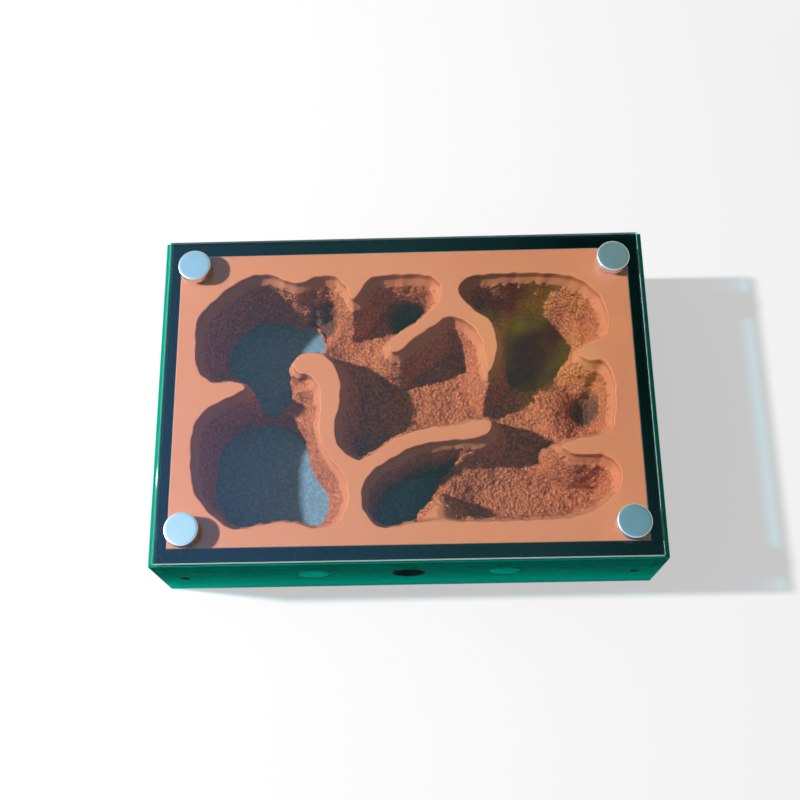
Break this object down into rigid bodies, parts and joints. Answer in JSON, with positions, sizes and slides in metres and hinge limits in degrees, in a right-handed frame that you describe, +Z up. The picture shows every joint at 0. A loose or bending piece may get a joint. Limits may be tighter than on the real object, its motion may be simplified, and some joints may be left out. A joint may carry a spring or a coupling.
{
  "type": "ant habitat",
  "caption": "Ant nest: a translucent teal acrylic case round a moulded terracotta block with chambers, tube ports and watering holes, under a clear lid held by disc magnets.",
  "frame": {"origin": "middle of the underside of the case", "axes": "+X to the right along the long side, +Y from the front wall with the ports to the back, +Z up through the lid"},
  "size_m": [0.15, 0.104, 0.038],
  "materials": {
    "teal_acrylic": "polished, translucent",
    "clear_acrylic": "polished, clear",
    "pale_panel": "matt, pale blue-grey",
    "nest_mineral": "matt, fine-grained, rough in the chambers",
    "nickel_magnet": "bright nickel plate"
  },
  "bodies": {
    "case": {"base_plate": "teal_acrylic", "front_wall": "teal_acrylic", "back_wall": "teal_acrylic", "left_wall": "teal_acrylic", "right_wall": "teal_acrylic", "floor_panel": "pale_panel", "nest_block": "nest_mineral", "hold_magnet_front_left": "nickel_magnet", "hold_magnet_front_right": "nickel_magnet", "hold_magnet_back_left": "nickel_magnet", "hold_magnet_back_right": "nickel_magnet"},
    "plug_left": {"port_plug_left": "teal_acrylic"},
    "plug_right": {"port_plug_right": "teal_acrylic"},
    "lid": {"lid_plate": "clear_acrylic"},
    "magnet_front_left": {"lid_magnet_front_left": "nickel_magnet"},
    "magnet_front_right": {"lid_magnet_front_right": "nickel_magnet"},
    "magnet_back_left": {"lid_magnet_back_left": "nickel_magnet"},
    "magnet_back_right": {"lid_magnet_back_right": "nickel_magnet"}
  },
  "joints": [
    {"name": "lid_lift", "type": "slide", "parent": "case", "child": "lid", "axis": [0, 0, 1], "range_m": [0, 0.06]},
    {"name": "magnet_front_left_lift", "type": "slide", "parent": "lid", "child": "magnet_front_left", "axis": [0, 0, 1], "range_m": [0, 0.02]},
    {"name": "magnet_front_right_lift", "type": "slide", "parent": "lid", "child": "magnet_front_right", "axis": [0, 0, 1], "range_m": [0, 0.02]},
    {"name": "magnet_back_left_lift", "type": "slide", "parent": "lid", "child": "magnet_back_left", "axis": [0, 0, 1], "range_m": [0, 0.02]},
    {"name": "magnet_back_right_lift", "type": "slide", "parent": "lid", "child": "magnet_back_right", "axis": [0, 0, 1], "range_m": [0, 0.02]},
    {"name": "plug_left_pull", "type": "slide", "parent": "case", "child": "plug_left", "axis": [0, -1, 0], "range_m": [0, 0.03]},
    {"name": "plug_right_pull", "type": "slide", "parent": "case", "child": "plug_right", "axis": [0, -1, 0], "range_m": [0, 0.03]}
  ]
}
